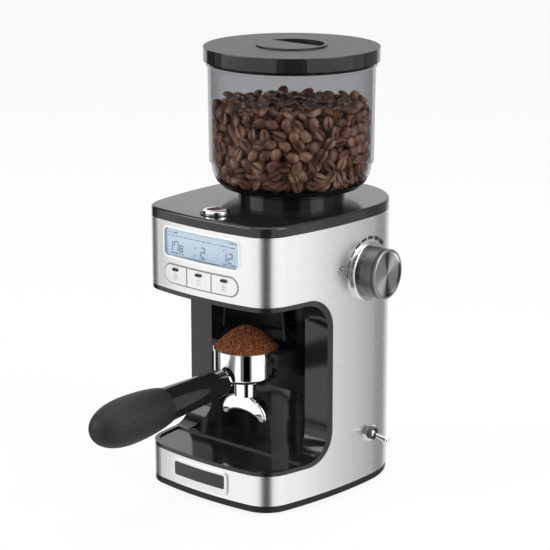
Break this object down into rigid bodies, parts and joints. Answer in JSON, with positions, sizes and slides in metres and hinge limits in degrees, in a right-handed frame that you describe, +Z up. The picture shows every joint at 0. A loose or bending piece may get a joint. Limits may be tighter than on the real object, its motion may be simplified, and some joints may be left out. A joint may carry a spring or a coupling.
{
  "type": "burr coffee grinder",
  "caption": "Upright burr coffee grinder: bean hopper with lid, steel body, display, side grind dial, and an open bay whose cradle holds a portafilter under the chute.",
  "frame": {"origin": "middle of the body's plan, on the worktop that the feet stand on", "axes": "+Z up, -Y towards the front with the bay and the display, +X towards the side with the grind dial"},
  "size_m": [0.1915, 0.3348, 0.3968],
  "materials": {
    "brushed_skin": "brushed along the horizontal, bright",
    "chrome": "mirror bright",
    "spun_metal": "spun face with fine rings, knurl-free side",
    "silver_button": "silver, satin",
    "black_gloss": "high gloss moulded black",
    "black_satin": "satin moulded black",
    "dark_plastic": "plain moulded",
    "rubber": "soft matt",
    "smoky_clear": "smoky clear, polished",
    "clear_lens": "clear, flat",
    "lcd_blue": "pale blue backlit panel",
    "coffee_beans": "roasted, slightly oily",
    "coffee_grounds": "fine and dull",
    "circuit_board": "green board",
    "gear_nylon": "off-white moulded gear",
    "tool_steel": "ground",
    "screw_steel": "plain",
    "cast_metal": "as cast",
    "dark_metal": "dull dark",
    "bronze": "sintered bronze"
  },
  "bodies": {
    "housing": {"base_plate": "black_satin", "base_screws": "screw_steel", "bay_liner": "black_gloss", "button_frame": "dark_plastic", "chassis": "dark_plastic", "chute_shroud": "black_satin", "cord_gland": "black_satin", "cradle": "black_satin", "dial_bezel": "chrome", "dial_bush": "bronze", "display_board": "circuit_board", "gear_deck": "cast_metal", "grinding_chamber": "dark_plastic", "grounds_chute": "black_satin", "hopper_socket": "black_gloss", "inner_screws": "screw_steel", "lcd_frame": "chrome", "lcd_lens": "clear_lens", "lcd_panel": "lcd_blue", "motor_can": "tool_steel", "motor_magnets": "dark_metal", "name_inlay": "black_gloss", "name_plate": "chrome", "power_board": "circuit_board", "rubber_feet": "rubber", "shaft_bushes": "bronze", "start_board": "circuit_board", "start_ring": "black_satin", "steel_skin": "brushed_skin", "toggle_body": "dark_metal", "toggle_nut": "chrome", "top_cover": "black_gloss"},
    "rotor": {"motor_rotor": "tool_steel", "motor_pinion": "tool_steel"},
    "burr": {"burr_gear": "gear_nylon", "burr_shaft": "tool_steel", "sweeper": "dark_plastic", "cone_burr": "tool_steel", "burr_nut": "tool_steel"},
    "carrier": {"burr_carrier": "dark_plastic", "ring_burr": "tool_steel"},
    "dial": {"dial_knob": "spun_metal", "dial_pinion": "gear_nylon"},
    "hopper": {"hopper_base": "black_gloss", "hopper_wall": "smoky_clear", "coffee_beans": "coffee_beans"},
    "lid": {"lid": "black_satin", "lid_seal": "rubber"},
    "start_button": {"start_button": "chrome"},
    "left_button": {"left_button": "silver_button"},
    "middle_button": {"middle_button": "silver_button"},
    "right_button": {"right_button": "silver_button"},
    "toggle_lever": {"toggle_lever": "chrome"},
    "portafilter": {"portafilter_cup": "chrome", "filter_basket": "tool_steel", "coffee_grounds": "coffee_grounds", "twin_spout": "chrome", "handle_neck": "black_gloss", "handle_grip": "rubber"}
  },
  "joints": [
    {"name": "motor_spin", "type": "hinge", "parent": "housing", "child": "rotor", "pos_m": [0, 0.048, 0.15], "axis": [0, 0, 1], "continuous": true},
    {"name": "burr_spin", "type": "hinge", "parent": "housing", "child": "burr", "pos_m": [0, 0.018, 0.2], "axis": [0, 0, 1], "continuous": true},
    {"name": "grind_dial", "type": "hinge", "parent": "housing", "child": "dial", "pos_m": [0, 0.018, 0.201], "axis": [0.9943, 0.1063, 0], "range_deg": [-135, 135]},
    {"name": "ring_burr_turn", "type": "hinge", "parent": "housing", "child": "carrier", "pos_m": [0, 0.018, 0.22], "axis": [0, 0, 1], "range_deg": [-23, 23]},
    {"name": "hopper_lift", "type": "slide", "parent": "housing", "child": "hopper", "axis": [0, 0, 1], "range_m": [0, 0.04]},
    {"name": "lid_lift", "type": "slide", "parent": "hopper", "child": "lid", "axis": [0, 0, 1], "range_m": [0, 0.06]},
    {"name": "start_press", "type": "slide", "parent": "housing", "child": "start_button", "axis": [0, 0, -1], "range_m": [0, 0.002], "stiffness_N_per_m": 600, "springref_m": -0.002},
    {"name": "left_press", "type": "slide", "parent": "housing", "child": "left_button", "axis": [0, 1, 0], "range_m": [0, 0.0008], "stiffness_N_per_m": 800, "springref_m": -0.0008},
    {"name": "middle_press", "type": "slide", "parent": "housing", "child": "middle_button", "axis": [0, 1, 0], "range_m": [0, 0.0008], "stiffness_N_per_m": 800, "springref_m": -0.0008},
    {"name": "right_press", "type": "slide", "parent": "housing", "child": "right_button", "axis": [0, 1, 0], "range_m": [0, 0.0008], "stiffness_N_per_m": 800, "springref_m": -0.0008},
    {"name": "toggle_flip", "type": "hinge", "parent": "housing", "child": "toggle_lever", "pos_m": [0.08583, 0.031, 0.049], "axis": [0, -1, 0], "range_deg": [0, 20]},
    {"name": "portafilter_slide", "type": "slide", "parent": "housing", "child": "portafilter", "axis": [0, -1, 0], "range_m": [0, 0.09]}
  ],
  "couplings": [
    {"joint": "burr_spin", "follows": "motor_spin", "ratio": -0.42857},
    {"joint": "ring_burr_turn", "follows": "grind_dial", "ratio": -0.16667}
  ]
}
